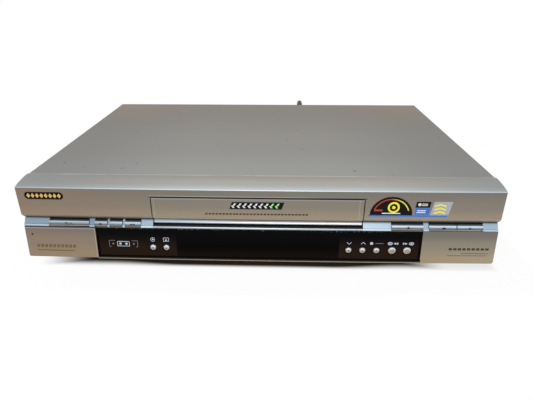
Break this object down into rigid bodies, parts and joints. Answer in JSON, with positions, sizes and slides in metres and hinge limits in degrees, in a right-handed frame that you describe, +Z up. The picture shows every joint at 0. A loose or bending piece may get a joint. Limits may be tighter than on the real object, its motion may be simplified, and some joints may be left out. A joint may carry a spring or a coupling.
{
  "type": "video cassette recorder",
  "caption": "Front-loading video cassette recorder: wide flat steel case, bowed front with sprung cassette door, half-round buttons, dark display window and socket flap.",
  "frame": {"origin": "on the surface it stands on, under the middle of its length and depth, without the mains lead", "axes": "+X to the right seen from the front, +Y to the rear, +Z up"},
  "size_m": [0.4336, 0.4229, 0.082],
  "materials": {
    "cover_steel": "fine textured champagne grey paint",
    "bare_steel": "zinc plated, satin",
    "front_plastic": "pearl champagne lacquer",
    "trim_plastic": "bright silver lacquer",
    "window_plastic": "smoked, polished",
    "button_plastic": "silver lacquer",
    "black_plastic": "satin",
    "rubber_black": "matt",
    "board": "brown laminate, satin",
    "display_glass": "tinted, polished",
    "white_plastic": "satin",
    "head_metal": "fine turned",
    "core_steel": "varnished laminations",
    "tinned_steel": "tinned, dull",
    "plug_brass": "nickel plated"
  },
  "bodies": {
    "case": {"top_cover": "cover_steel", "chassis_tray": "bare_steel", "rear_panel": "bare_steel", "foot_front_left": "black_plastic", "foot_front_right": "black_plastic", "foot_rear_left": "black_plastic", "foot_rear_right": "black_plastic", "case_screws": "bare_steel", "front_fascia": "front_plastic", "button_trim": "trim_plastic", "display_window": "window_plastic", "front_sockets": "black_plastic", "switch_board": "board", "display_tube": "display_glass", "main_board": "board", "power_board": "board", "power_transformer": "core_steel", "heat_sink": "head_metal", "tuner_can": "tinned_steel", "rear_sockets": "black_plastic", "deck_plate": "bare_steel", "loader_frame_left": "bare_steel", "loader_frame_right": "bare_steel", "lower_drum": "head_metal", "capstan_bearing": "plug_brass", "loading_motor": "bare_steel", "erase_head": "black_plastic", "audio_control_head": "head_metal", "strain_relief": "black_plastic", "mains_lead": "rubber_black", "mains_lead_coil": "rubber_black", "mains_plug": "rubber_black"},
    "cassette_door": {"cassette_door": "front_plastic"},
    "socket_flap": {"socket_flap": "front_plastic"},
    "loader_rack": {"loader_rack": "bare_steel"},
    "cassette_holder": {"cassette_holder": "bare_steel"},
    "upper_drum": {"upper_drum": "head_metal"},
    "supply_reel_table": {"supply_reel_table": "white_plastic"},
    "takeup_reel_table": {"takeup_reel_table": "white_plastic"},
    "capstan": {"capstan": "bare_steel"},
    "pinch_arm": {"pinch_arm": "bare_steel"},
    "pinch_roller": {"pinch_roller": "rubber_black"},
    "guide_carriage_left": {"guide_carriage_left": "bare_steel"},
    "guide_carriage_right": {"guide_carriage_right": "bare_steel"},
    "cam_gear": {"cam_gear": "white_plastic"},
    "motor_pinion": {"motor_pinion": "white_plastic"},
    "power_button": {"power_button": "button_plastic"},
    "timer_button": {"timer_button": "button_plastic"},
    "search_button": {"search_button": "button_plastic"},
    "rewind_button": {"rewind_button": "button_plastic"},
    "eject_button": {"eject_button": "button_plastic"},
    "stop_button": {"stop_button": "button_plastic"},
    "play_button": {"play_button": "button_plastic"},
    "refresh_key": {"refresh_key": "button_plastic"},
    "picture_key": {"picture_key": "button_plastic"},
    "channel_down_key": {"channel_down_key": "button_plastic"},
    "channel_up_key": {"channel_up_key": "button_plastic"},
    "record_key": {"record_key": "button_plastic"},
    "review_key": {"review_key": "button_plastic"},
    "cue_key": {"cue_key": "button_plastic"}
  },
  "joints": [
    {"name": "door_hinge", "type": "hinge", "parent": "case", "child": "cassette_door", "pos_m": [0, -0.13944, 0.0709], "axis": [1, 0, 0], "range_deg": [0, 100], "stiffness_Nm_per_rad": 0.006},
    {"name": "flap_hinge", "type": "hinge", "parent": "case", "child": "socket_flap", "pos_m": [-0.182, -0.14572, 0.0119], "axis": [1, 0, 0], "range_deg": [0, 95]},
    {"name": "power_press", "type": "slide", "parent": "case", "child": "power_button", "axis": [0, 1, 0], "range_m": [0, 0.001], "stiffness_N_per_m": 400},
    {"name": "timer_press", "type": "slide", "parent": "case", "child": "timer_button", "axis": [0, 1, 0], "range_m": [0, 0.001], "stiffness_N_per_m": 400},
    {"name": "search_press", "type": "slide", "parent": "case", "child": "search_button", "axis": [0, 1, 0], "range_m": [0, 0.001], "stiffness_N_per_m": 400},
    {"name": "rewind_press", "type": "slide", "parent": "case", "child": "rewind_button", "axis": [0, 1, 0], "range_m": [0, 0.001], "stiffness_N_per_m": 400},
    {"name": "eject_press", "type": "slide", "parent": "case", "child": "eject_button", "axis": [0, 1, 0], "range_m": [0, 0.001], "stiffness_N_per_m": 400},
    {"name": "stop_press", "type": "slide", "parent": "case", "child": "stop_button", "axis": [0, 1, 0], "range_m": [0, 0.001], "stiffness_N_per_m": 400},
    {"name": "play_press", "type": "slide", "parent": "case", "child": "play_button", "axis": [0, 1, 0], "range_m": [0, 0.001], "stiffness_N_per_m": 400},
    {"name": "refresh_press", "type": "slide", "parent": "case", "child": "refresh_key", "axis": [0, 1, 0], "range_m": [0, 0.0008], "stiffness_N_per_m": 400},
    {"name": "picture_press", "type": "slide", "parent": "case", "child": "picture_key", "axis": [0, 1, 0], "range_m": [0, 0.0008], "stiffness_N_per_m": 400},
    {"name": "channel_down_press", "type": "slide", "parent": "case", "child": "channel_down_key", "axis": [0, 1, 0], "range_m": [0, 0.0008], "stiffness_N_per_m": 400},
    {"name": "channel_up_press", "type": "slide", "parent": "case", "child": "channel_up_key", "axis": [0, 1, 0], "range_m": [0, 0.0008], "stiffness_N_per_m": 400},
    {"name": "record_press", "type": "slide", "parent": "case", "child": "record_key", "axis": [0, 1, 0], "range_m": [0, 0.0008], "stiffness_N_per_m": 400},
    {"name": "review_press", "type": "slide", "parent": "case", "child": "review_key", "axis": [0, 1, 0], "range_m": [0, 0.0008], "stiffness_N_per_m": 400},
    {"name": "cue_press", "type": "slide", "parent": "case", "child": "cue_key", "axis": [0, 1, 0], "range_m": [0, 0.0008], "stiffness_N_per_m": 400},
    {"name": "rack_slide", "type": "slide", "parent": "case", "child": "loader_rack", "axis": [0, 1, 0], "range_m": [0, 0.05]},
    {"name": "holder_drop", "type": "slide", "parent": "loader_rack", "child": "cassette_holder", "axis": [0, 0, -1], "range_m": [0, 0.0193]},
    {"name": "drum_spin", "type": "hinge", "parent": "case", "child": "upper_drum", "pos_m": [0, 0.02252, 0.022], "axis": [0, -0.0872, 0.9962], "continuous": true},
    {"name": "supply_spin", "type": "hinge", "parent": "case", "child": "supply_reel_table", "pos_m": [-0.046, -0.07598, 0.019], "axis": [0, 0, 1], "continuous": true},
    {"name": "takeup_spin", "type": "hinge", "parent": "case", "child": "takeup_reel_table", "pos_m": [0.046, -0.07598, 0.019], "axis": [0, 0, 1], "continuous": true},
    {"name": "capstan_spin", "type": "hinge", "parent": "case", "child": "capstan", "pos_m": [0.053, -0.00498, 0.019], "axis": [0, 0, 1], "continuous": true},
    {"name": "pinch_swing", "type": "hinge", "parent": "case", "child": "pinch_arm", "pos_m": [0.074, 0.00702, 0.019], "axis": [0, 0, -1], "range_deg": [0, 25]},
    {"name": "roller_spin", "type": "hinge", "parent": "pinch_arm", "child": "pinch_roller", "pos_m": [0.06775, -0.01407, 0.025], "axis": [0, 0, 1], "continuous": true},
    {"name": "guide_left_slide", "type": "slide", "parent": "case", "child": "guide_carriage_left", "axis": [-0.1564, 0.9877, 0], "range_m": [0, 0.05]},
    {"name": "guide_right_slide", "type": "slide", "parent": "case", "child": "guide_carriage_right", "axis": [0.1564, 0.9877, 0], "range_m": [0, 0.05]},
    {"name": "cam_turn", "type": "hinge", "parent": "case", "child": "cam_gear", "pos_m": [-0.08, 0.03802, 0.019], "axis": [0, 0, 1], "range_deg": [0, 110]},
    {"name": "pinion_spin", "type": "hinge", "parent": "case", "child": "motor_pinion", "pos_m": [-0.05575, 0.03802, 0.019], "axis": [0, 0, 1], "range_deg": [-331, 0]}
  ],
  "couplings": [
    {"joint": "guide_right_slide", "follows": "guide_left_slide", "ratio": 1},
    {"joint": "cam_turn", "follows": "guide_left_slide", "rad_per_m": 38.3},
    {"joint": "pinch_swing", "follows": "guide_left_slide", "rad_per_m": 8.7},
    {"joint": "pinion_spin", "follows": "guide_left_slide", "rad_per_m": -114.9}
  ]
}
